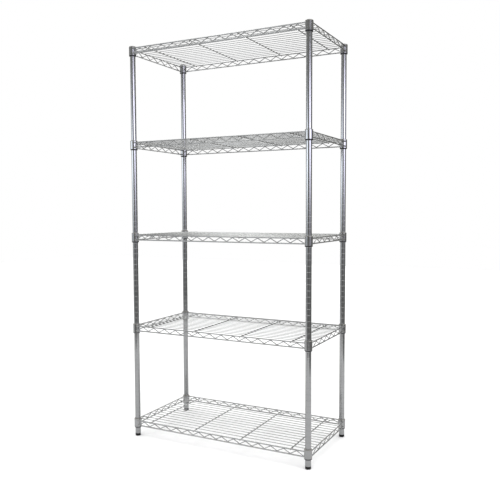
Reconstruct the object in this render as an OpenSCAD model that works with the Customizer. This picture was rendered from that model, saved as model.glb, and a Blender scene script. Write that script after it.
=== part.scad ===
// Wire shelving rack: four grooved tube posts carry five welded wire shelves.
// Each shelf wedges on split tapered sleeves, and each post stands on a levelling foot.
// Frame: +Z up, +X along the shelves, front towards -Y, origin on the floor under the centre.

/* [Rack] */
// Overall length over the corner collars
rack_length = 914.4; // [760:0.1:1220]
// Overall depth over the corner collars
rack_depth = 457.2; // [355:0.1:610]
// Height of the lowest shelf's collar tops above the floor
lowest_shelf_height = 85.9; // [80:0.1:105]
// Rise from each shelf to the next, counted in post grooves
shelf_rises = [18, 17, 17, 17]; // [8:1:20]

/* [Posts] */
// Outer diameter of the post tube
post_d = 25.4; // [25:0.1:25.8]
// Wall thickness of the post tube
post_wall = 1.2; // [1:0.1:1.6]
// Distance between the ring grooves
groove_pitch = 25.4; // [24:0.1:27]
// Depth of a ring groove
groove_depth = 0.6; // [0.4:0.1:0.7]
// Width of a ring groove at the post's surface
groove_width = 2.4; // [2:0.1:3]

/* [Shelf wires] */
// Diameter of the rim wires that run round a shelf
rim_d = 6; // [5:0.1:6.6]
// Diameter of the zigzag wire between the two rim wires
zigzag_d = 4; // [3:0.1:4.5]
// Diameter of the long wires that goods stand on
deck_wire_d = 3.2; // [2.5:0.1:4]
// Diameter of the cross struts under the deck wires
strut_d = 6; // [4:0.1:7]
// Distance between neighbouring deck wires
deck_pitch = 29.6; // [20:0.1:40]
// Length of one full wave of the zigzag
zigzag_pitch = 60.5; // [50:0.1:70]
// Full waves of the zigzag between neighbouring struts
waves_per_strut = 4; // [3:1:5]
// Depth of the upper rim wire below the collar tops
rim_drop = 10.3; // [9:0.1:12]
// Distance between the upper and the lower rim wire
truss_height = 22.4; // [20:0.1:25]
// Distance of the rim wires outside the line through the post centres
rim_offset = 11.4; // [10:0.1:12]

/* [Collars and sleeves] */
// Outer diameter of a corner collar
collar_d = 34; // [33.6:0.1:36]
// Height of a corner collar
collar_h = 41; // [39:0.1:44]
// Height of the collar's rounded shoulder
shoulder_h = 7; // [5:0.1:8]
// Height of the sleeve's lip below the collar
lip_h = 4.3; // [3:0.1:5]
// Width of the slit between the two halves of a sleeve, in degrees
slit_angle = 2; // [1:0.5:5]

/* [Feet] */
// Diameter of a foot pad
pad_d = 25; // [22:0.1:26]
// Height of a foot pad
pad_h = 10.6; // [10:0.1:12]
// Thread diameter of the levelling stud
stud_d = 8; // [8:0.1:8.4]
// Thread pitch of the levelling stud
thread_pitch = 1.25; // [1:0.25:1.5]

/* [Hidden] */
$fn = 64;
weld = 0.4;             // how deep welded wires sink into each other
cone_gap = 0.15;        // clearance between a sleeve and its collar
lip_gap = 0.3;          // clearance between a sleeve's lip and its collar
running_gap = 0.05;     // radial clearance of the stud in its insert

shelf_count = 5;
post_r = post_d / 2;
bore_r = post_r - post_wall;
collar_r = collar_d / 2;
rim_r = rim_d / 2;
post_x = rack_length / 2 - collar_r;
post_y = rack_depth / 2 - collar_r;
rim_x = post_x + rim_offset;
rim_y = post_y + rim_offset;

// Heights of the collar tops, lowest shelf first
function rises_below(k) = k <= 1 ? 0 : shelf_rises[k - 2] + rises_below(k - 1);
function shelf_z(k) = lowest_shelf_height + rises_below(k) * groove_pitch;

// Levelling foot, stacked up from the floor: pad, insert flange, post
flange_gap = 0.2;
flange_h = 1.2;
flange_z = pad_h + flange_gap;
post_foot_z = flange_z + flange_h;
post_top_z = shelf_z(shelf_count) - 1;

// The sleeve's inner ridge and the groove that it clips into
ridge_drop = 22;
first_groove_z = lowest_shelf_height - ridge_drop - groove_pitch;
groove_count = 1 + rises_below(shelf_count) + 1;

// Radii of the sleeve's cone at the foot and at the top of a collar
sleeve_foot_r = post_r + 2.5;
sleeve_top_r = post_r + 0.7;
lip_r = collar_r - 0.3;

side_names = ["front_left", "front_right", "back_left", "back_right"];
side_signs = [[-1, -1], [1, -1], [-1, 1], [1, 1]];
post_parts = ["post", "cap", "insert", "stud", "foot"];
shelf_parts = ["deck", "long_trusses", "side_trusses", "collars"];

// Moves its children to one corner, numbered as in side_names
module at_corner(corner) {
    translate([side_signs[corner][0] * post_x, side_signs[corner][1] * post_y, 0]) children();
}

// A round wire from one point to another
module wire(from, to, d) {
    run = to - from;
    length = norm(run);
    translate(from)
        rotate([0, acos(run[2] / length), atan2(run[1], run[0])])
            cylinder(h = length, d = d);
}

// Grooved tube; the outline runs up the outside and down the bore
module post(corner) {
    grooves = [for (i = [0 : groove_count - 1], step = [[-0.5, 0], [-0.25, 1], [0.25, 1], [0.5, 0]])
        [post_r - step[1] * groove_depth, first_groove_z + i * groove_pitch + step[0] * groove_width]];
    outside = concat([[post_r, post_foot_z]], grooves, [[post_r, post_top_z]]);
    color("silver")
        at_corner(corner)
            rotate_extrude()
                polygon(concat(outside, [[bore_r, post_top_z], [bore_r, post_foot_z]]));
}

// Domed plug pressed into the post's upper end
module cap(corner) {
    stem_h = 9;
    edge_h = 0.9;
    dome_h = 2;
    color("dimgray")
        at_corner(corner)
            translate([0, 0, post_top_z])
                rotate_extrude()
                    polygon([
                        [0, -stem_h], [bore_r - 0.7, -stem_h], [bore_r, -stem_h + 2], [bore_r, 0],
                        [post_r - 0.1, 0], [post_r - 0.1, edge_h], [post_r - 0.8, edge_h + 0.7],
                        [post_r - 3, dome_h - 0.1], [0, dome_h]
                    ]);
}

// Threaded plug pressed into the post's lower end
module insert(corner) {
    stem_h = 26;
    thread_r = stud_d / 2 + running_gap;
    color("black")
        at_corner(corner)
            translate([0, 0, post_foot_z])
                rotate_extrude()
                    polygon([
                        [thread_r, -flange_h], [post_r - 0.2, -flange_h], [post_r - 0.2, 0],
                        [bore_r, 0], [bore_r, stem_h - 2], [bore_r - 0.8, stem_h], [thread_r, stem_h]
                    ]);
}

// Levelling stud: a flat head held in the pad, and a thread drawn as rings
head_r = 6.5;
head_h = 4.4;
head_z = 3.1;
module stud(corner) {
    shank_top = 42;
    thread_z = pad_h - 0.4;
    crest = stud_d / 2;
    root = crest - 0.55 * thread_pitch;
    ring_count = floor((shank_top - 1 - thread_z) / thread_pitch);
    rings = [for (i = [0 : ring_count - 1], step = [[0, root], [0.45, crest], [0.6, crest]])
        [step[1], thread_z + (i + step[0]) * thread_pitch]];
    color("gainsboro")
        at_corner(corner)
            rotate_extrude()
                polygon(concat(
                    [[0, head_z], [head_r, head_z], [head_r, head_z + head_h], [root, head_z + head_h]],
                    rings,
                    [[root, thread_z + ring_count * thread_pitch], [root - 0.6, shank_top], [0, shank_top]]
                ));
}

// Foot pad moulded round the stud's head
module foot(corner) {
    pad_r = pad_d / 2;
    pocket_r = head_r + 0.1;
    neck_r = stud_d / 2 + 0.1;
    color([0.08, 0.08, 0.08])
        at_corner(corner)
            rotate_extrude()
                polygon([
                    [0, 0], [pad_r - 2.4, 0], [pad_r - 0.9, 0.6], [pad_r - 0.1, 2.2],
                    [pad_r, pad_h - 1], [pad_r - 0.6, pad_h], [neck_r, pad_h],
                    [neck_r, head_z + head_h + 0.1], [pocket_r, head_z + head_h + 0.1],
                    [pocket_r, head_z - 0.1], [0, head_z - 0.1]
                ]);
}

// Long wires with the struts welded under them
deck_z = rim_r - rim_drop - deck_wire_d / 2;
strut_z = deck_z - deck_wire_d / 2 - strut_d / 2 + weld;
module deck(k) {
    wire_span = 2 * (post_y - collar_r - deck_wire_d / 2 - 0.3);
    wire_count = floor(wire_span / deck_pitch) + 1;
    wire_end = rim_x - rim_r + 2.2 * weld;
    strut_end = rim_y - rim_r / 2;
    strut_step = waves_per_strut * zigzag_pitch;
    struts_a_side = floor((post_x - collar_r) / strut_step + 0.5);
    color("silver")
        translate([0, 0, shelf_z(k)]) {
            for (i = [0 : wire_count - 1]) {
                y = (i - (wire_count - 1) / 2) * deck_pitch;
                wire([-wire_end, y, deck_z], [wire_end, y, deck_z], deck_wire_d);
            }
            for (i = [0 : struts_a_side - 1], side = [-1, 1]) {
                x = side * (i + 0.5) * strut_step;
                wire([x, -strut_end, strut_z], [x, strut_end, strut_z], strut_d);
            }
        }
}

// Two rim wires with the zigzag between them, along X, between collars at half_span.
// The collars stand inward of the truss by rim_offset; inward is +1 or -1 along Y.
module truss(half_span, inward) {
    rim_z = [-rim_drop, -rim_drop - truss_height];
    clear_half = half_span - sqrt(collar_r * collar_r - rim_offset * rim_offset);
    waves_a_side = floor(clear_half / zigzag_pitch);
    color("silver")
        difference() {
            union() {
                for (z = rim_z)
                    wire([-half_span, 0, z], [half_span, 0, z], rim_d);
                for (wave = [-waves_a_side : waves_a_side - 1]) {
                    low = wave * zigzag_pitch;
                    high = low + zigzag_pitch / 2;
                    wire([low, 0, rim_z[1]], [high, 0, rim_z[0]], zigzag_d);
                    wire([high, 0, rim_z[0]], [low + zigzag_pitch, 0, rim_z[1]], zigzag_d);
                }
            }
            for (end = [-1, 1])
                translate([end * half_span, inward * rim_offset, -collar_h])
                    cylinder(h = collar_h, r = collar_r - weld);
        }
}

// The trusses along the front and the back
module long_trusses(k) {
    for (side = [-1, 1])
        translate([0, side * rim_y, shelf_z(k)]) truss(post_x, -side);
}

// The trusses along the left and the right end
module side_trusses(k) {
    for (side = [-1, 1])
        translate([side * rim_x, 0, shelf_z(k)]) rotate([0, 0, 90]) truss(post_y, side);
}

// Four corner collars with tapered bores
module collars(k) {
    mouth_r = sleeve_foot_r + cone_gap;
    throat_r = sleeve_top_r + cone_gap;
    brim_r = throat_r + 0.5;
    shoulder = [for (turn = [0 : 10 : 90])
        [brim_r + (collar_r - brim_r) * cos(turn), -shoulder_h + shoulder_h * sin(turn)]];
    color("silver")
        for (corner = [0 : 3])
            at_corner(corner)
                translate([0, 0, shelf_z(k)])
                    rotate_extrude()
                        polygon(concat(
                            [[mouth_r, -collar_h], [collar_r - 0.4, -collar_h], [collar_r, -collar_h + 0.6]],
                            shoulder,
                            [[throat_r, 0]]
                        ));
}

// Split sleeve that clips round a post under a shelf, in two halves
module sleeve(corner, k) {
    lip_top = -collar_h - lip_gap;
    lip_foot = lip_top - lip_h;
    ridge_h = 0.5 * groove_width;
    ridge_r = post_r - groove_depth + 0.15;
    color([0.15, 0.15, 0.17])
        for (half = [0, 1])
            at_corner(corner)
                translate([0, 0, shelf_z(k)])
                    rotate([0, 0, 180 * half + slit_angle / 2])
                        rotate_extrude(angle = 180 - slit_angle)
                            polygon([
                                [post_r, lip_foot], [post_r + 0.9, lip_foot],
                                [lip_r, lip_top - 1.2], [lip_r, lip_top], [sleeve_foot_r, lip_top],
                                [sleeve_foot_r, -collar_h], [sleeve_top_r, -0.2], [post_r, -0.2],
                                [post_r, -ridge_drop + ridge_h], [ridge_r, -ridge_drop + ridge_h / 2],
                                [ridge_r, -ridge_drop - ridge_h / 2], [post_r, -ridge_drop - ridge_h]
                            ]);
}

for (i = [0 : 3]) {
    post(i);
    cap(i);
    insert(i);
    stud(i);
    foot(i);
}

for (k = [1 : shelf_count]) {
    deck(k);
    long_trusses(k);
    side_trusses(k);
    collars(k);
}

for (i = [0 : 3], k = [1 : shelf_count])
    sleeve(i, k);
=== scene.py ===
"""Looks of the wire shelving rack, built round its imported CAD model.

Chrome wires, posts and collars are remade here with bends, rolled grooves and weld marks.
All lengths are in metres; a shelf's own pieces are drawn about its collar tops and then lifted.
"""

import math

import bpy
import numpy as np
from mathutils import Euler, Matrix, Vector


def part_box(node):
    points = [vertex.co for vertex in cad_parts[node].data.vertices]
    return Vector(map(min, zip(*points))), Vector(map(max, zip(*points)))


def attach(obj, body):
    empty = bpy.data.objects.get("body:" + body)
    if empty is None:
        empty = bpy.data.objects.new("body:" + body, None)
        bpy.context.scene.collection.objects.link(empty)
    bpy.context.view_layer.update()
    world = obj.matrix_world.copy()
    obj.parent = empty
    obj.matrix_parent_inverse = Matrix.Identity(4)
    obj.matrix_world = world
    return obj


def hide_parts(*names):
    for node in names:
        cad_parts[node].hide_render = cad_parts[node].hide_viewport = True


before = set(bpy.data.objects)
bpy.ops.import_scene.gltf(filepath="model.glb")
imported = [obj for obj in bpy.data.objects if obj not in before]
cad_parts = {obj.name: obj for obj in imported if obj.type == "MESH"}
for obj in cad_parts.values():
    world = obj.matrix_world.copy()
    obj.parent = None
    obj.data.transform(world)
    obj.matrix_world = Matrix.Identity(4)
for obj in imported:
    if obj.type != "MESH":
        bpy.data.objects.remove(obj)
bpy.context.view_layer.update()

MM = 0.001
SIDES = ("front_left", "front_right", "back_left", "back_right")
SHELVES = (1, 2, 3, 4, 5)

# Sizes that the frame gives
POST_LOW, POST_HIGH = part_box("post_front_right")
POST_R = (POST_HIGH.x - POST_LOW.x) / 2
POST_X = (POST_HIGH.x + POST_LOW.x) / 2
POST_Y = -(POST_HIGH.y + POST_LOW.y) / 2
COLLAR_LOW, COLLAR_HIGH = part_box("collars_1")
COLLAR_R = COLLAR_HIGH.x - POST_X
COLLAR_H = COLLAR_HIGH.z - COLLAR_LOW.z
SHELF_Z = {k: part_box(f"collars_{k}")[1].z for k in SHELVES}
TRUSS_LOW, TRUSS_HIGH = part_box("long_trusses_1")
DECK_LOW, DECK_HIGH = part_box("deck_1")

# Sizes of the wires
RIM_R = 3.0 * MM
ZIGZAG_R = 2.0 * MM
DECK_WIRE_R = 1.6 * MM
STRUT_R = 3.0 * MM
RIM_Y = TRUSS_HIGH.y - RIM_R
RIM_OFFSET = RIM_Y - POST_Y
RIM_X = POST_X + RIM_OFFSET
UPPER_RIM_Z = TRUSS_HIGH.z - RIM_R - SHELF_Z[1]
LOWER_RIM_Z = TRUSS_LOW.z + RIM_R - SHELF_Z[1]
ZIGZAG_PITCH = 60.5 * MM
LONG_WAVES = 7          # full waves of the zigzag on each side of the middle
SHORT_WAVES = 3
DECK_PITCH = 29.6 * MM
DECK_WIRES = 14
STRUT_X = (2 * ZIGZAG_PITCH, 6 * ZIGZAG_PITCH)
DECK_Z = DECK_HIGH.z - DECK_WIRE_R - SHELF_Z[1]
STRUT_Z = DECK_LOW.z + STRUT_R - SHELF_Z[1]

# Sizes of the posts, collars and feet
BORE_R = POST_R - 1.2 * MM       # inside of the post tube
GROOVE_PITCH = 25.4 * MM
FIRST_GROOVE_Z = 38.5 * MM
GROOVE_MOUTH = 1.0 * MM          # a groove's width at the surface
GROOVE_FLOOR = 0.2 * MM          # and at its bottom
GROOVE_DEPTH = 0.166 * MM
MOUTH_R = POST_R + 2.65 * MM     # the collar's bore at its foot
THROAT_R = POST_R + 0.85 * MM    # and at its top
THREAD_R = 4.0 * MM
THREAD_PITCH = 1.25 * MM


# ---------------------------------------------------------------- node trees

class Graph:
    """A tree of shader nodes under construction."""

    def __init__(self, tree):
        self.tree = tree

    def node(self, kind):
        """A new node of that kind."""
        return self.tree.nodes.new("ShaderNode" + kind)

    def fill(self, node, values):
        """Fills inputs of a node; each value is a number, a colour or another node's output."""
        for name, value in values.items():
            socket = node.inputs[name]
            if isinstance(value, bpy.types.NodeSocket):
                self.tree.links.new(value, socket)
            elif socket.type == "RGBA":
                socket.default_value = (*value, 1)
            else:
                socket.default_value = value
        return node

    def sum(self, operation, first, second):
        """One sum on two values."""
        node = self.node("Math")
        node.operation = operation
        return self.fill(node, {0: first, 1: second}).outputs["Value"]

    def scaled(self, value, low, high, to_low=0.0, to_high=1.0):
        """The value mapped from one range to another, and held at its ends."""
        limits = {"From Min": low, "From Max": high, "To Min": to_low, "To Max": to_high}
        return self.fill(self.node("MapRange"), {"Value": value, **limits}).outputs["Result"]

    def step(self, value, start, end):
        """Rises smoothly from 0 at start to 1 at end."""
        node = self.node("MapRange")
        node.interpolation_type = "SMOOTHSTEP"
        return self.fill(node, {"Value": value, "From Min": start, "From Max": end}).outputs["Result"]


# ---------------------------------------------------------------- camera and studio

PALE = 1.00             # how bright the floor and the space behind the rack look
SUN_ENERGY = 0.8


def make_camera():
    """A camera a little right of the rack and at the height of its middle shelf."""
    data = bpy.data.cameras.new("camera")
    data.sensor_width = 36
    data.lens = 45.45
    camera = bpy.data.objects.new("camera", data)
    bpy.context.scene.collection.objects.link(camera)
    camera.location = (1.4118, -2.6113, 1.0810)
    azimuth, pitch, roll = math.radians(27.365), math.radians(-3.629), math.radians(-0.18)
    turn = Euler((math.pi / 2 + pitch, 0, azimuth)).to_matrix() @ Matrix.Rotation(roll, 3, "Z")
    camera.rotation_euler = turn.to_euler()
    bpy.context.scene.camera = camera


def overhead_light():
    """Soft light from above for the floor and the plastics; the chrome doesn't mirror it."""
    data = bpy.data.lights.new("overhead", "SUN")
    data.energy = SUN_ENERGY
    data.angle = math.radians(40)
    lamp = bpy.data.objects.new("overhead", data)
    bpy.context.scene.collection.objects.link(lamp)
    lamp.rotation_euler = (math.radians(12), math.radians(4), 0)
    lamp.visible_camera = False
    lamp.visible_glossy = False


class Surround(Graph):
    """The studio that the chrome mirrors, as bands of light by direction.

    The compass is 0 towards the front, 90 to the right and -90 to the left. The sideways measure
    is a direction's X: wires along X mirror all that has the sideways measure of the line of sight.
    """

    def __init__(self):
        world = bpy.data.worlds.new("studio")
        bpy.context.scene.world = world
        world.use_nodes = True
        super().__init__(world.node_tree)
        self.tree.nodes.clear()
        place = self.node("TexCoord").outputs["Generated"]
        axes = self.fill(self.node("SeparateXYZ"), {"Vector": place})
        self.sideways = axes.outputs["X"]
        self.height = axes.outputs["Z"]
        forward = self.sum("MULTIPLY", axes.outputs["Y"], -1.0)
        self.compass = self.sum("MULTIPLY", self.sum("ARCTAN2", self.sideways, forward), math.degrees(1.0))
        self.light = None

    def add(self, stops, colour, left=None, right=None, soft=8, measure=None):
        """Adds light of that colour; stops are (elevation in degrees, radiance).

        Its edges left and right are compass angles in degrees, or values of another measure, and
        fade over soft to each side. With no edges it goes all round.
        """
        heights = [math.sin(math.radians(elevation)) for elevation, radiance in stops]
        brightest = max(radiance for elevation, radiance in stops)
        ramp = self.fill(self.node("ValToRGB"), {"Fac": self.scaled(self.height, heights[0], heights[-1])})
        elements = ramp.color_ramp.elements
        while len(elements) < len(stops):
            elements.new(1.0)
        for element, height, (elevation, radiance) in zip(elements, heights, stops):
            element.position = (height - heights[0]) / (heights[-1] - heights[0])
            element.color = (*(radiance / brightest * c for c in colour), 1)
        strength = brightest
        if left is not None:
            measure = measure or self.compass
            past_right = self.step(measure, right - soft, right + soft)
            inside = self.sum("MULTIPLY", self.step(measure, left - soft, left + soft),
                              self.sum("SUBTRACT", 1.0, past_right))
            strength = self.sum("MULTIPLY", inside, brightest)
        band = self.fill(self.node("Background"), {"Color": ramp.outputs["Color"], "Strength": strength})
        if self.light is None:
            self.light = band.outputs["Background"]
        else:
            both = self.fill(self.node("AddShader"), {0: self.light, 1: band.outputs["Background"]})
            self.light = both.outputs["Shader"]

    def finish(self, even):
        """To the camera and to dull surfaces the surround is plain and pale."""
        plain = self.fill(self.node("Background"), {"Color": (even, even, even)}).outputs["Background"]
        ray = self.node("LightPath")
        share = self.sum("MAXIMUM", ray.outputs["Is Camera Ray"], ray.outputs["Is Diffuse Ray"])
        choice = self.fill(self.node("MixShader"), {"Fac": share, 1: self.light, 2: plain})
        self.fill(self.node("OutputWorld"), {"Surface": choice.outputs["Shader"]})


def make_surround():
    """A dim room with lights on its ceiling and on both sides of the camera, and a grey backdrop."""
    surround = Surround()
    white, cream, ivory, ice = (1, 1, 1), (1, 1, 0.96), (1, 1, 0.98), (0.98, 1, 1)
    sky, lilac, pale_lilac = (0.84, 0.91, 1.0), (0.81, 0.80, 1.0), (0.83, 0.82, 1.0)
    surround.add(((-90, 0.19), (-8, 0.19), (-1, 0.22), (3, 0.25), (9, 0.26), (13, 0.27), (22, 0.29),
                  (90, 0.29)), cream)

    # Ceiling: a band that rings the posts' grooves with light, a strip for the middle of the
    # decks, and a light on the left and on the right for the zigzags
    ceiling = surround.sideways
    surround.add(((27, 0.0), (31, 1.9), (42, 1.9), (46, 0.0)), ivory, -0.52, 1.2, 0.04, ceiling)
    surround.add(((20, 0.0), (34, 2.1), (90, 2.1)), ice, -0.505, -0.46, 0.045, ceiling)
    surround.add(((20, 0.0), (30, 1.9), (68, 1.9), (75, 0.0)), white, -1.2, -0.65, 0.03, ceiling)
    surround.add(((44, 0.0), (48, 1.9), (68, 1.9), (75, 0.0)), white, 0.2, 1.2, 0.05, ceiling)

    # Lights on the left and, in two parts, on the right, which draw the posts' bright stripes
    surround.add(((-12, 0.15), (-5, 0.20), (-1, 0.65), (1, 1.5), (3.5, 2.5), (6, 2.2), (9.5, 0.6),
                  (12, 0.10), (16, 0.0)), sky, -70, -15)
    surround.add(((-12, 0.03), (-5, 0.08), (-1, 0.30), (1, 1.0), (3.5, 2.3), (6, 3.0), (9, 2.2),
                  (11, 1.1), (13, 0.2), (14.5, 0.0)), lilac, 44, 94)
    surround.add(((4, 0.0), (6.5, 0.9), (9.5, 2.4), (12, 2.4), (13.2, 1.0), (14.4, 0.1), (15, 0.0)),
                 pale_lilac, 31, 66)

    # Backdrop on the left and behind, with a bright patch in a weak one behind the left end
    surround.add(((-12, 0.85), (-3, 0.75), (0, 0.45), (4, 0.30), (12, 0.24), (90, 0.0)), ivory, -190, -80)
    surround.add(((-30, 0.2), (-2, 0.25), (15, 0.2), (60, 0.0)), ice, -176, -130, 4)
    surround.add(((-30, 2.0), (-2, 2.6), (15, 2.4), (35, 1.2), (60, 0.0)), ice, -159, -146, 7)
    surround.finish(PALE)


def lay_sheet(name, low, high, z, albedo, mirrored):
    """A flat dull sheet; the chrome alone sees it if mirrored is set, and all but the chrome if not."""
    bpy.ops.mesh.primitive_plane_add(size=1)
    sheet = bpy.context.object
    sheet.name = name
    sheet.scale = (*(high - low), 1)
    sheet.location = (*((high + low) / 2), z)
    dull = bpy.data.materials.new(name)
    dull.use_nodes = True
    shader = dull.node_tree.nodes["Principled BSDF"]
    shader.inputs["Base Color"].default_value = (albedo, albedo, albedo, 1)
    shader.inputs["Roughness"].default_value = 1.0
    shader.inputs["Specular IOR Level"].default_value = 0.0
    sheet.data.materials.append(dull)
    sheet.visible_glossy = mirrored
    sheet.visible_camera = not mirrored
    sheet.visible_diffuse = not mirrored
    sheet.visible_shadow = not mirrored


def make_floor():
    """A white floor; what the chrome mirrors instead is a smaller, greyer sheet just above it."""
    lay_sheet("floor", Vector((-9, -9)), Vector((9, 9)), 0, 0.96, False)
    lay_sheet("mirrored_sheet", Vector((-4.0, -2.17)), Vector((1.95, 4.0)), 0.2 * MM, 0.62, True)


# ---------------------------------------------------------------- materials

class Paint(Graph):
    """A material under construction."""

    def __init__(self, name):
        self.material = bpy.data.materials.new(name)
        self.material.use_nodes = True
        super().__init__(self.material.node_tree)
        self.shader = self.tree.nodes["Principled BSDF"]
        self.place = self.node("TexCoord").outputs["Object"]

    def noise(self, scale, stretch=(1, 1, 1), detail=3.0):
        """Noise over the object, stretched along its axes and different on each object."""
        spread = self.fill(self.node("Mapping"), {"Vector": self.place, "Scale": stretch})
        shift = self.scaled(self.node("ObjectInfo").outputs["Random"], 0, 1, 0, 20)
        node = self.node("TexNoise")
        node.noise_dimensions = "4D"
        self.fill(node, {"Vector": spread.outputs["Vector"], "W": shift, "Scale": scale, "Detail": detail})
        return node.outputs["Fac"]

    def attribute(self, name):
        """A number stored on the mesh's points."""
        node = self.node("Attribute")
        node.attribute_name = name
        return node.outputs["Fac"]

    def blend(self, share, first, second):
        """Two colours mixed; each is a colour or another node's output."""
        node = self.node("Mix")
        node.data_type = "RGBA"
        return self.fill(node, {"Factor": share, "A": first, "B": second}).outputs["Result"]

    def bump(self, height, distance):
        """The surface's normal, raised by height times distance."""
        return self.fill(self.node("Bump"), {"Height": height, "Distance": distance}).outputs["Normal"]


def chrome(name, bright, dull, roughness, streak):
    """Bright plating: faint patches, fine drawing lines along streak, dull grooves and welds, and painted
    shade on the collars' shoulders.
    """
    paint = Paint(name)
    patches = paint.scaled(paint.noise(14), 0.35, 0.65)
    lines = paint.noise(900, streak, 2.0)
    # The share stored on the mesh mixes in grey and roughness: weld tint and groove grime, and painted
    # shade on the collars' shoulders
    worn = paint.attribute("worn")
    grey = (0.20, 0.19, 0.17)
    drawn = paint.scaled(lines, 0.3, 0.7, roughness * 0.8, roughness * 1.25)
    handled = paint.scaled(paint.noise(45), 0.4, 0.7, 0.0, 0.05)
    plating = paint.sum("ADD", drawn, handled)
    paint.fill(paint.shader, {
        "Metallic": 1.0,
        "Base Color": paint.blend(worn, paint.blend(patches, bright, dull), grey),
        "Roughness": paint.sum("ADD", plating, paint.sum("MULTIPLY", worn, 0.25)),
        "Normal": paint.bump(paint.sum("ADD", lines, paint.noise(2500)), 0.004 * MM)})
    return paint.material


def plastic(name, colour, pale, roughness, grain):
    """Moulded plastic: a fine eroded grain, pale scuffs and a little dust."""
    paint = Paint(name)
    scuffs = paint.scaled(paint.noise(120, (1, 1, 0.3), 6.0), 0.55, 0.75, 0, 0.5)
    paint.fill(paint.shader, {
        "Specular IOR Level": 0.3,
        "Base Color": paint.blend(scuffs, colour, pale),
        "Roughness": paint.scaled(paint.noise(260), 0.3, 0.7, roughness - 0.08, roughness + 0.12),
        "Normal": paint.bump(paint.noise(grain, (1, 1, 1), 4.0), 0.03 * MM)})
    return paint.material


def make_materials():
    """One material for each slot of the record."""
    made = {}
    for name, bright, dull, roughness, streak in (
            ("post_chrome", (0.46, 0.465, 0.47), (0.42, 0.425, 0.43), 0.10, (1, 1, 0.02)),
            ("wire_chrome", (0.43, 0.435, 0.44), (0.39, 0.39, 0.385), 0.16, (1, 1, 1)),
            ("collar_chrome", (0.46, 0.465, 0.47), (0.41, 0.41, 0.41), 0.12, (0.05, 0.05, 1)),
            ("stud_steel", (0.42, 0.42, 0.41), (0.36, 0.35, 0.33), 0.28, (0.1, 0.1, 1))):
        made[name] = chrome(name, bright, dull, roughness, streak)
    for name, colour, pale, roughness, grain in (
            ("cap_plastic", (0.045, 0.045, 0.043), (0.10, 0.10, 0.095), 0.38, 900),
            ("sleeve_plastic", (0.008, 0.008, 0.012), (0.03, 0.03, 0.035), 0.5, 700),
            ("insert_plastic", (0.008, 0.008, 0.008), (0.03, 0.03, 0.03), 0.5, 700),
            ("foot_plastic", (0.004, 0.004, 0.004), (0.03, 0.03, 0.028), 0.46, 800)):
        made[name] = plastic(name, colour, pale, roughness, grain)
    return made


# ---------------------------------------------------------------- mesh building

class Shape:
    """Points and faces of a piece, with a share from 0 to 1 at each point that stands for weld tint,
    groove grime and painted shade.
    """

    def __init__(self):
        self.points, self.worn, self.faces, self.count = [], [], [], 0

    def rings(self, rings, worn=0.0, joined=False):
        """Skins a row of equal closed rings, capped at both ends or joined end to end.

        worn is one number, a column with one for each ring, or a row with one for each of a
        ring's points.
        """
        rows, sides = rings.shape[:2]
        start = self.count
        self.points.append(rings.reshape(-1, 3))
        self.worn.append(np.broadcast_to(worn, (rows, sides)).ravel())
        self.count += rows * sides
        for row in range(rows if joined else rows - 1):
            low, high = start + row * sides, start + (row + 1) % rows * sides
            for side in range(sides):
                after = (side + 1) % sides
                self.faces.append((low + side, low + after, high + after, high + side))
        if not joined:
            self.faces.append(tuple(range(start + sides - 1, start - 1, -1)))
            self.faces.append(tuple(range(start + (rows - 1) * sides, start + rows * sides)))

    def mesh(self, name, sharp_degrees=40):
        """The Blender mesh, smooth but for edges sharper than that."""
        made = bpy.data.meshes.new(name)
        made.from_pydata(np.concatenate(self.points).tolist(), [], self.faces)
        made.attributes.new("worn", "FLOAT", "POINT").data.foreach_set("value", np.concatenate(self.worn))
        made.polygons.foreach_set("use_smooth", [True] * len(made.polygons))
        made.set_sharp_from_angle(angle=math.radians(sharp_degrees))
        return made


def circle(sides):
    """Angles of a ring's points."""
    return np.arange(sides) * 2 * math.pi / sides


def column(values):
    """Numbers set under each other, one for each ring."""
    return np.reshape(values, (-1, 1))


def arc(centre, radii, first, last, steps):
    """Points (radius, height) on an elliptic arc, angles in degrees."""
    turns = np.radians(np.linspace(first, last, steps))
    return [(centre[0] + radii[0] * math.cos(a), centre[1] + radii[1] * math.sin(a)) for a in turns]


def sweep(shape, path, radii, plane, sides=12, worn=0.0):
    """A round wire along a path that lies in the plane with that normal."""
    path = np.asarray(path, float)
    radii = np.broadcast_to(radii, len(path))
    ahead = np.gradient(path, axis=0)
    ahead /= np.linalg.norm(ahead, axis=1)[:, None]
    plane = np.asarray(plane, float)
    across = np.cross(plane, ahead)
    turn = circle(sides)
    rings = (path[:, None] + radii[:, None, None]
             * (np.cos(turn)[None, :, None] * plane + np.sin(turn)[None, :, None] * across[:, None]))
    shape.rings(rings, column(worn))


def nugget(shape, place, size, worn=0.6, sides=10, rows=6):
    """A small blob of weld metal, with half sizes along X, Y and Z; its poles are cut off flat."""
    pole = math.pi / 2 * 0.92
    tilt = column(np.linspace(-pole, pole, rows))
    turn = circle(sides)
    rings = np.stack([np.cos(tilt) * np.cos(turn), np.cos(tilt) * np.sin(turn),
                      np.sin(tilt) * np.ones(sides)], -1)
    shape.rings(np.asarray(place) + rings * np.asarray(size), worn)


def lathe(shape, outline, sides=64, worn=0.0, start=0.0, angle=2 * math.pi):
    """Turns a closed outline of (radius, height) about a vertical axis, all round or in part."""
    radii, heights = np.asarray(outline, float).T
    whole = angle == 2 * math.pi
    turn = column(start + (circle(sides) if whole else np.linspace(0, angle, sides)))
    rings = np.stack([np.cos(turn) * radii, np.sin(turn) * radii, np.ones((sides, 1)) * heights], -1)
    shape.rings(rings, worn, joined=whole)


def turned_mesh(name, outline, sides=64, worn=0.0, sharp_degrees=40):
    """The mesh of one outline turned all round."""
    shape = Shape()
    lathe(shape, outline, sides, worn)
    return shape.mesh(name, sharp_degrees)


def corner(side):
    """The (x, y) of a post's axis."""
    return (POST_X if side.endswith("right") else -POST_X, POST_Y if side.startswith("back") else -POST_Y)


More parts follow.
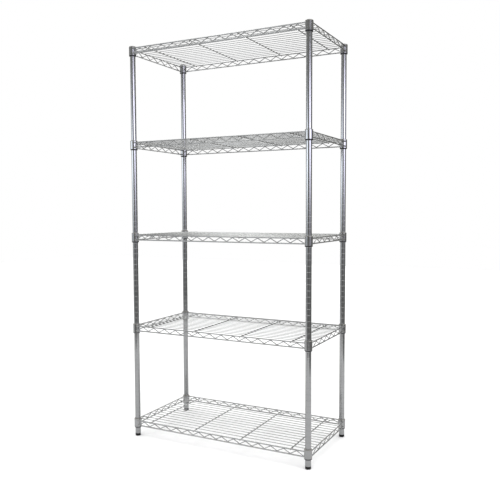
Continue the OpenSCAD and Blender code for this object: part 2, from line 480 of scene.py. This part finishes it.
def show(name, mesh, body, slot, node, place):
    """Puts a mesh in the scene as a piece of the rack that stands for a CAD node."""
    piece = bpy.data.objects.new(name, mesh)
    bpy.context.scene.collection.objects.link(piece)
    piece.matrix_world = place
    if not mesh.materials:
        mesh.materials.append(MATERIALS[slot])
    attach(piece, body)
    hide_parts(node)


# ---------------------------------------------------------------- trusses

def zigzag_path(waves, top, foot):
    """Centre line of the zigzag wire in the XZ plane, with a low bend in the middle."""
    bend_r = 5.0 * MM
    inset = 3.0 * MM
    high, low = top - inset, foot + inset
    slope = math.atan2(high - low, ZIGZAG_PITCH / 2)
    last = 2 * waves
    points = [(-last * ZIGZAG_PITCH / 2, 0, low)]
    for step in range(1 - last, last):
        x = step * ZIGZAG_PITCH / 2
        side = -1 if step % 2 else 1
        centre_z = (high if step % 2 else low) + side * bend_r / math.cos(slope)
        for turn in np.linspace(-slope, slope, 7):
            points.append((x + bend_r * math.sin(turn), 0, centre_z - side * bend_r * math.cos(turn)))
    return points + [(last * ZIGZAG_PITCH / 2, 0, low)]


def rim(shape, half_span, z):
    """One rim wire, flared where it is welded to the collars' round sides."""
    # (gap to the collar in mm, swelling), the last one inside the collar's wall
    flare = ((4.0, 1.00), (2.0, 1.03), (1.1, 1.12), (0.5, 1.24), (0.0, 1.30), (-0.6, 1.15))
    turn = circle(16)
    rings, tint_and_shade = [], []
    for gap, swell in flare:
        y = RIM_R * swell * np.cos(turn)
        reach = np.sqrt(COLLAR_R ** 2 - (RIM_OFFSET - y) ** 2)
        rings.append(np.stack([half_span - reach - gap * MM, y, z + RIM_R * swell * np.sin(turn)], -1))
        tint_and_shade.append(min(1.0, (swell - 1) * 3))
    left = [ring * (-1, 1, 1) for ring in reversed(rings)]
    shape.rings(np.array(left + rings), column(tint_and_shade[::-1] + tint_and_shade))


def truss_mesh(name, half_span, waves):
    """Two rim wires and the zigzag between them, along X, with the collars towards +Y."""
    shape = Shape()
    rim(shape, half_span, UPPER_RIM_Z)
    rim(shape, half_span, LOWER_RIM_Z)
    sweep(shape, zigzag_path(waves, UPPER_RIM_Z, LOWER_RIM_Z), ZIGZAG_R, (0, 1, 0))
    for step in range(-2 * waves, 2 * waves + 1):
        z = UPPER_RIM_Z - RIM_R if step % 2 else LOWER_RIM_Z + RIM_R
        nugget(shape, (step * ZIGZAG_PITCH / 2, 0, z), (4.2 * MM, 2.1 * MM, 1.3 * MM))
    return shape.mesh(name)


def add_trusses():
    """Four trusses a shelf; each mesh is shared by its copies."""
    long_mesh = truss_mesh("long_truss", POST_X, LONG_WAVES)
    short_mesh = truss_mesh("side_truss", POST_Y, SHORT_WAVES)
    for k in SHELVES:
        for name, mesh, x, y, turn, node in (
                ("front_truss", long_mesh, 0, -RIM_Y, 0, "long_trusses"),
                ("back_truss", long_mesh, 0, RIM_Y, 180, "long_trusses"),
                ("left_truss", short_mesh, -RIM_X, 0, -90, "side_trusses"),
                ("right_truss", short_mesh, RIM_X, 0, 90, "side_trusses")):
            place = Matrix.Translation((x, y, SHELF_Z[k])) @ Matrix.Rotation(math.radians(turn), 4, "Z")
            show(f"{name}_{k}", mesh, f"shelf_{k}", "wire_chrome", f"{node}_{k}", place)


# ---------------------------------------------------------------- decks

def welded_wire(shape, half_length, radius, place, axis, sides):
    """A straight wire with a weld fillet at both ends; axis is 0 for X and 1 for Y."""
    # (distance from the end in mm, swelling)
    fillet = ((0.0, 1.35), (0.8, 1.18), (1.5, 1.05), (3.0, 1.0))
    gaps, swells = np.array(fillet).T
    swells = np.concatenate([swells, swells[::-1]])
    path = np.tile(np.asarray(place, float), (len(swells), 1))
    path[:, axis] = np.concatenate([gaps * MM - half_length, half_length - gaps[::-1] * MM])
    sweep(shape, path, radius * swells, (0, 0, 1), sides, (swells - 1) * 2.2)


def add_decks():
    """Long deck wires over four cross struts, with a weld at every crossing."""
    rows = [(i - (DECK_WIRES - 1) / 2) * DECK_PITCH for i in range(DECK_WIRES)]
    columns = [side * x for x in STRUT_X for side in (-1, 1)]
    wire_half = RIM_X - RIM_R * 0.75
    strut_half = RIM_Y - RIM_R * 0.8
    wires, struts = Shape(), Shape()
    for y in rows:
        welded_wire(wires, wire_half, DECK_WIRE_R, (0, y, DECK_Z), 0, 12)
        for x in columns:
            nugget(struts, (x, y, STRUT_Z + STRUT_R), (2.4 * MM, 2.6 * MM, 1.2 * MM))
    for x in columns:
        welded_wire(struts, strut_half, STRUT_R, (x, 0, STRUT_Z), 1, 16)
    wire_mesh, strut_mesh = wires.mesh("deck_wires"), struts.mesh("deck_struts")
    for k in SHELVES:
        place = Matrix.Translation((0, 0, SHELF_Z[k]))
        show(f"deck_wires_{k}", wire_mesh, f"shelf_{k}", "wire_chrome", f"deck_{k}", place)
        show(f"deck_struts_{k}", strut_mesh, f"shelf_{k}", "wire_chrome", f"deck_{k}", place)


# ---------------------------------------------------------------- collars and sleeves

def collar_mesh():
    """A pressed collar with a rounded shoulder, darker and rougher with painted shade that dims the
    highlight it mirrors, a rolled foot and a tapered bore.
    """
    shoulder_h, shoulder_painted_shade = 3.4 * MM, 0.8
    brim_r = COLLAR_R - 3.4 * MM
    roll = 0.7 * MM
    outline = [(MOUTH_R, -COLLAR_H + 0.3 * MM), (MOUTH_R + 0.3 * MM, -COLLAR_H)]
    outline += arc((COLLAR_R - roll, -COLLAR_H + roll), (roll, roll), -90, 0, 5)
    outline += [(COLLAR_R, -COLLAR_H + roll + 0.5 * MM), (COLLAR_R, -shoulder_h - 0.5 * MM)]
    outline += arc((brim_r, -shoulder_h), (COLLAR_R - brim_r, shoulder_h), 0, 90, 12)
    outline += [(THROAT_R + 0.2 * MM, 0), (THROAT_R, -0.3 * MM)]
    # The shoulder's points get painted shade: the share greys and roughens them so the highlight they
    # mirror is dimmed
    tint_and_shade = [shoulder_painted_shade if height > -shoulder_h else 0.0 for radius, height in outline]
    return turned_mesh("collar", outline, 72, tint_and_shade)


def sleeve_mesh():
    """Two halves of a split tapered sleeve, with a rounded lip and a slit on each side."""
    foot_r, top_r = POST_R + 2.5 * MM, POST_R + 0.7 * MM
    lip_r = COLLAR_R - 0.3 * MM
    lip_top = -COLLAR_H - 0.3 * MM
    lip_foot = lip_top - 4.3 * MM
    top = -0.2 * MM
    inside = POST_R + 0.02 * MM
    outline = [(inside, lip_foot), (inside + 0.8 * MM, lip_foot)]
    outline += arc((lip_r - 1.4 * MM, lip_top - 1.6 * MM), (1.4 * MM, 2.0 * MM), -60, 0, 5)
    outline += arc((lip_r - 0.4 * MM, lip_top - 0.4 * MM), (0.4 * MM, 0.4 * MM), 0, 90, 4)
    outline += [(foot_r, lip_top), (foot_r, -COLLAR_H), (top_r, top - 0.2 * MM), (top_r - 0.2 * MM, top),
                (inside, top)]
    slit = math.radians(2)
    shape = Shape()
    for half in (0, 1):
        lathe(shape, outline, 36, start=half * math.pi + slit / 2, angle=math.pi - slit)
    return shape.mesh("sleeve", 50)


def add_collars_and_sleeves():
    """A collar on each shelf's corner and a sleeve inside it on the post."""
    collar, sleeve = collar_mesh(), sleeve_mesh()
    for k in SHELVES:
        for side in SIDES:
            place = Matrix.Translation((*corner(side), SHELF_Z[k]))
            show(f"collar_{side}_{k}", collar, f"shelf_{k}", "collar_chrome", f"collars_{k}", place)
            show(f"split_sleeve_{side}_{k}", sleeve, "root", "sleeve_plastic", f"sleeve_{side}_{k}", place)


# ---------------------------------------------------------------- posts and feet

def post_mesh():
    """The tube with its rolled ring grooves, drawn from the floor up."""
    bevel = 0.3 * MM
    section = ((-GROOVE_MOUTH / 2, 0), (-GROOVE_FLOOR / 2, GROOVE_DEPTH),
               (GROOVE_FLOOR / 2, GROOVE_DEPTH), (GROOVE_MOUTH / 2, 0))
    grooves = int((POST_HIGH.z - FIRST_GROOVE_Z) / GROOVE_PITCH) + 1
    outline = [(BORE_R, POST_LOW.z), (POST_R - bevel, POST_LOW.z), (POST_R, POST_LOW.z + bevel)]
    for i in range(grooves):
        groove_z = FIRST_GROOVE_Z + i * GROOVE_PITCH
        outline += [(POST_R - depth, groove_z + z) for z, depth in section]
    outline += [(POST_R, POST_HIGH.z - bevel), (POST_R - bevel, POST_HIGH.z), (BORE_R, POST_HIGH.z)]
    plain, groove_wear = [0.0] * 3, [0.0, 0.083, 0.083, 0.0]
    return turned_mesh("post", outline, 64, plain + groove_wear * grooves + plain, 15)


def cap_mesh():
    """A shallow domed plug with a rounded brim, in the post's upper end."""
    low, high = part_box("cap_front_right")
    top = POST_HIGH.z
    brim_r, brim_h = high.x - POST_X, 1.5 * MM
    outline = [(0.2 * MM, low.z), (BORE_R - 0.7 * MM, low.z), (BORE_R, low.z + 2 * MM), (BORE_R, top),
               (brim_r, top)]
    outline += arc((brim_r - 0.9 * MM, top + 0.6 * MM), (0.9 * MM, 0.9 * MM), 0, 70, 6)
    for share in (0.85, 0.65, 0.45, 0.25, 0.05):
        dome = (high.z - top - brim_h) * (1 - share ** 2)
        outline.append(((brim_r - 1.2 * MM) * share, top + brim_h + dome))
    return turned_mesh("cap", outline)


def insert_mesh():
    """The threaded plug in the post's foot, with its flange under the tube."""
    low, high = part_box("insert_front_right")
    hole_r, flange_r = THREAD_R + 0.05 * MM, POST_R - 0.2 * MM
    outline = [(hole_r + 0.4 * MM, low.z), (flange_r - 0.3 * MM, low.z), (flange_r, low.z + 0.3 * MM),
               (flange_r, POST_LOW.z), (BORE_R, POST_LOW.z), (BORE_R, high.z - 2 * MM),
               (BORE_R - 0.8 * MM, high.z), (hole_r, high.z), (hole_r, low.z + 0.4 * MM)]
    return turned_mesh("insert", outline, 48)


def foot_mesh():
    """The pad: a flat sole with a rounded edge, a moulded line round its side, a recess for the stud."""
    low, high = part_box("foot_front_right")
    pad_r = high.x - POST_X
    line_r = pad_r - 0.25 * MM
    neck_r, pocket_r = 4.1 * MM, 6.6 * MM
    pocket_low, pocket_high = 3.0 * MM, 7.6 * MM
    outline = [(0.1 * MM, 0), (pad_r - 2.6 * MM, 0)]
    outline += arc((pad_r - 2.6 * MM, 2.4 * MM), (2.5 * MM, 2.4 * MM), -80, 0, 8)
    outline += [(pad_r, 4.2 * MM), (pad_r, 6.4 * MM), (line_r, 6.65 * MM), (line_r, 7.05 * MM),
                (pad_r, 7.3 * MM)]
    outline += arc((pad_r - 0.8 * MM, high.z - 0.8 * MM), (0.8 * MM, 0.8 * MM), 0, 90, 5)
    outline += [(neck_r + 0.3 * MM, high.z), (neck_r, high.z - 0.3 * MM), (neck_r, pocket_high),
                (pocket_r, pocket_high), (pocket_r, pocket_low), (0.1 * MM, pocket_low)]
    return turned_mesh("foot", outline)


def stud_mesh():
    """The levelling stud: a flat head, and a rolled helical thread."""
    low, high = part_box("stud_front_right")
    depth = 0.55 * THREAD_PITCH
    head_r, head_top, bevel = 6.5 * MM, low.z + 4.4 * MM, 0.4 * MM
    shape = Shape()
    lathe(shape, [(0.1 * MM, low.z), (head_r - bevel, low.z), (head_r, low.z + bevel),
                  (head_r, head_top - bevel), (head_r - bevel, head_top), (0.1 * MM, head_top)], 48)
    turn = circle(32)
    rings = []
    for z in np.arange(head_top - 0.2 * MM, high.z, THREAD_PITCH / 10):
        phase = (z / THREAD_PITCH - turn / (2 * math.pi)) % 1.0
        cut = np.clip(np.abs(phase - 0.5) * 2.6 - 0.15, 0, 1)
        fade = min(1.0, max(0.0, (z - head_top) / THREAD_PITCH), max(0.0, (high.z - z) / THREAD_PITCH))
        radius = THREAD_R - depth * (1 - fade * (1 - cut))
        rings.append(np.stack([radius * np.cos(turn), radius * np.sin(turn), np.full(len(turn), z)], -1))
    shape.rings(np.array(rings))
    return shape.mesh("stud", 60)


def add_posts_and_feet():
    """The four posts with their caps, inserts, studs and pads."""
    for part, label, mesh, slot, moves in (
            ("post", "post_tube", post_mesh(), "post_chrome", False),
            ("cap", "post_cap", cap_mesh(), "cap_plastic", False),
            ("insert", "post_insert", insert_mesh(), "insert_plastic", False),
            ("stud", "foot_stud", stud_mesh(), "stud_steel", True),
            ("foot", "foot_pad", foot_mesh(), "foot_plastic", True)):
        for side in SIDES:
            body = f"{part}_{side}" if moves else "root"
            place = Matrix.Translation((*corner(side), 0))
            show(f"{label}_{side}", mesh, body, slot, f"{part}_{side}", place)


# ---------------------------------------------------------------- the scene

make_camera()
make_surround()
overhead_light()
make_floor()
bpy.context.scene.view_settings.view_transform = "Standard"

MATERIALS = make_materials()
add_posts_and_feet()
add_collars_and_sleeves()
add_trusses()
add_decks()
